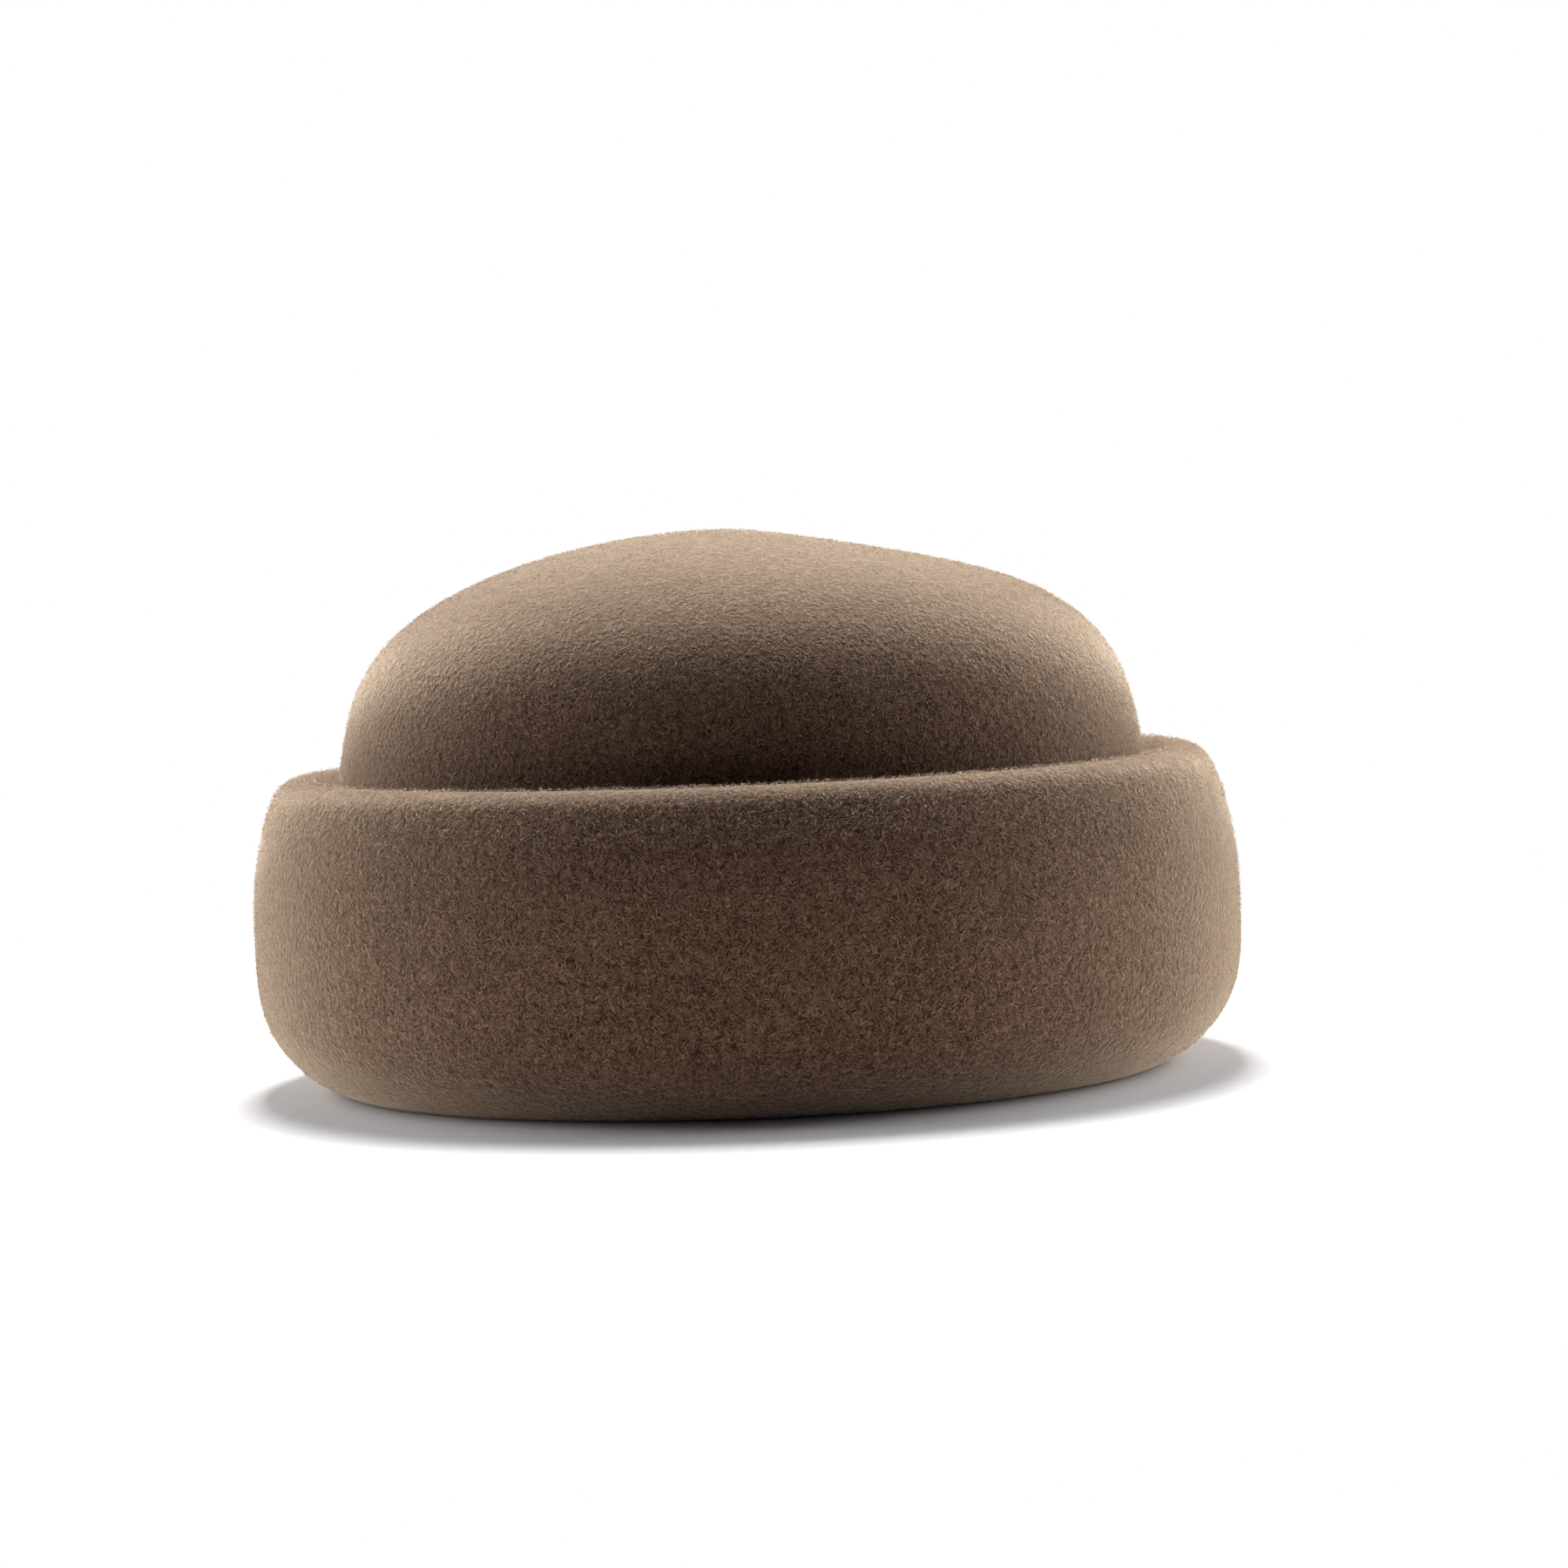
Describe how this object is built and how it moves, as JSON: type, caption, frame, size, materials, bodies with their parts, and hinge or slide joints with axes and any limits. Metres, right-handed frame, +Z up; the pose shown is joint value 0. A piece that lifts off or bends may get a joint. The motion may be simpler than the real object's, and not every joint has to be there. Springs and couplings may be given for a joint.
{
  "type": "bowler hat",
  "caption": "Felt bowler hat with a rounded crown, a deep turned-up cuff brim wired at its rim, a leather sweatband and a satin lining.",
  "frame": {"origin": "centre of the head opening, on the plane that the hat rests on", "axes": "+Z up through the crown, the front of the hat faces -Y and the wearer's left faces +X"},
  "size_m": [0.2122, 0.2442, 0.1348],
  "materials": {
    "felt": "brown velour felt with a short curly nap",
    "leather": "smooth brown leather, satin",
    "satin": "brown satin weave",
    "ribbon": "dark brown ribbed ribbon",
    "tape": "plain woven tape",
    "reed": "matte",
    "thread": "twisted thread",
    "steel": "drawn wire",
    "paper": "bare uncoated paper"
  },
  "bodies": {
    "root": {"crown": "felt", "brim_cuff": "felt", "edge_wire": "steel", "wire_joiner": "steel", "hem_stitches": "thread", "headline_stitches": "thread", "sweatband": "leather", "sweatband_reed": "reed", "reed_tape": "tape", "sweatband_stitches": "thread", "back_seam_stitches": "thread", "bow_loops": "ribbon", "bow_knot": "ribbon", "lining_side": "satin", "lining_tip": "satin", "lining_piping": "ribbon", "lining_stitches": "thread", "size_ticket": "paper"}
  },
  "joints": []
}
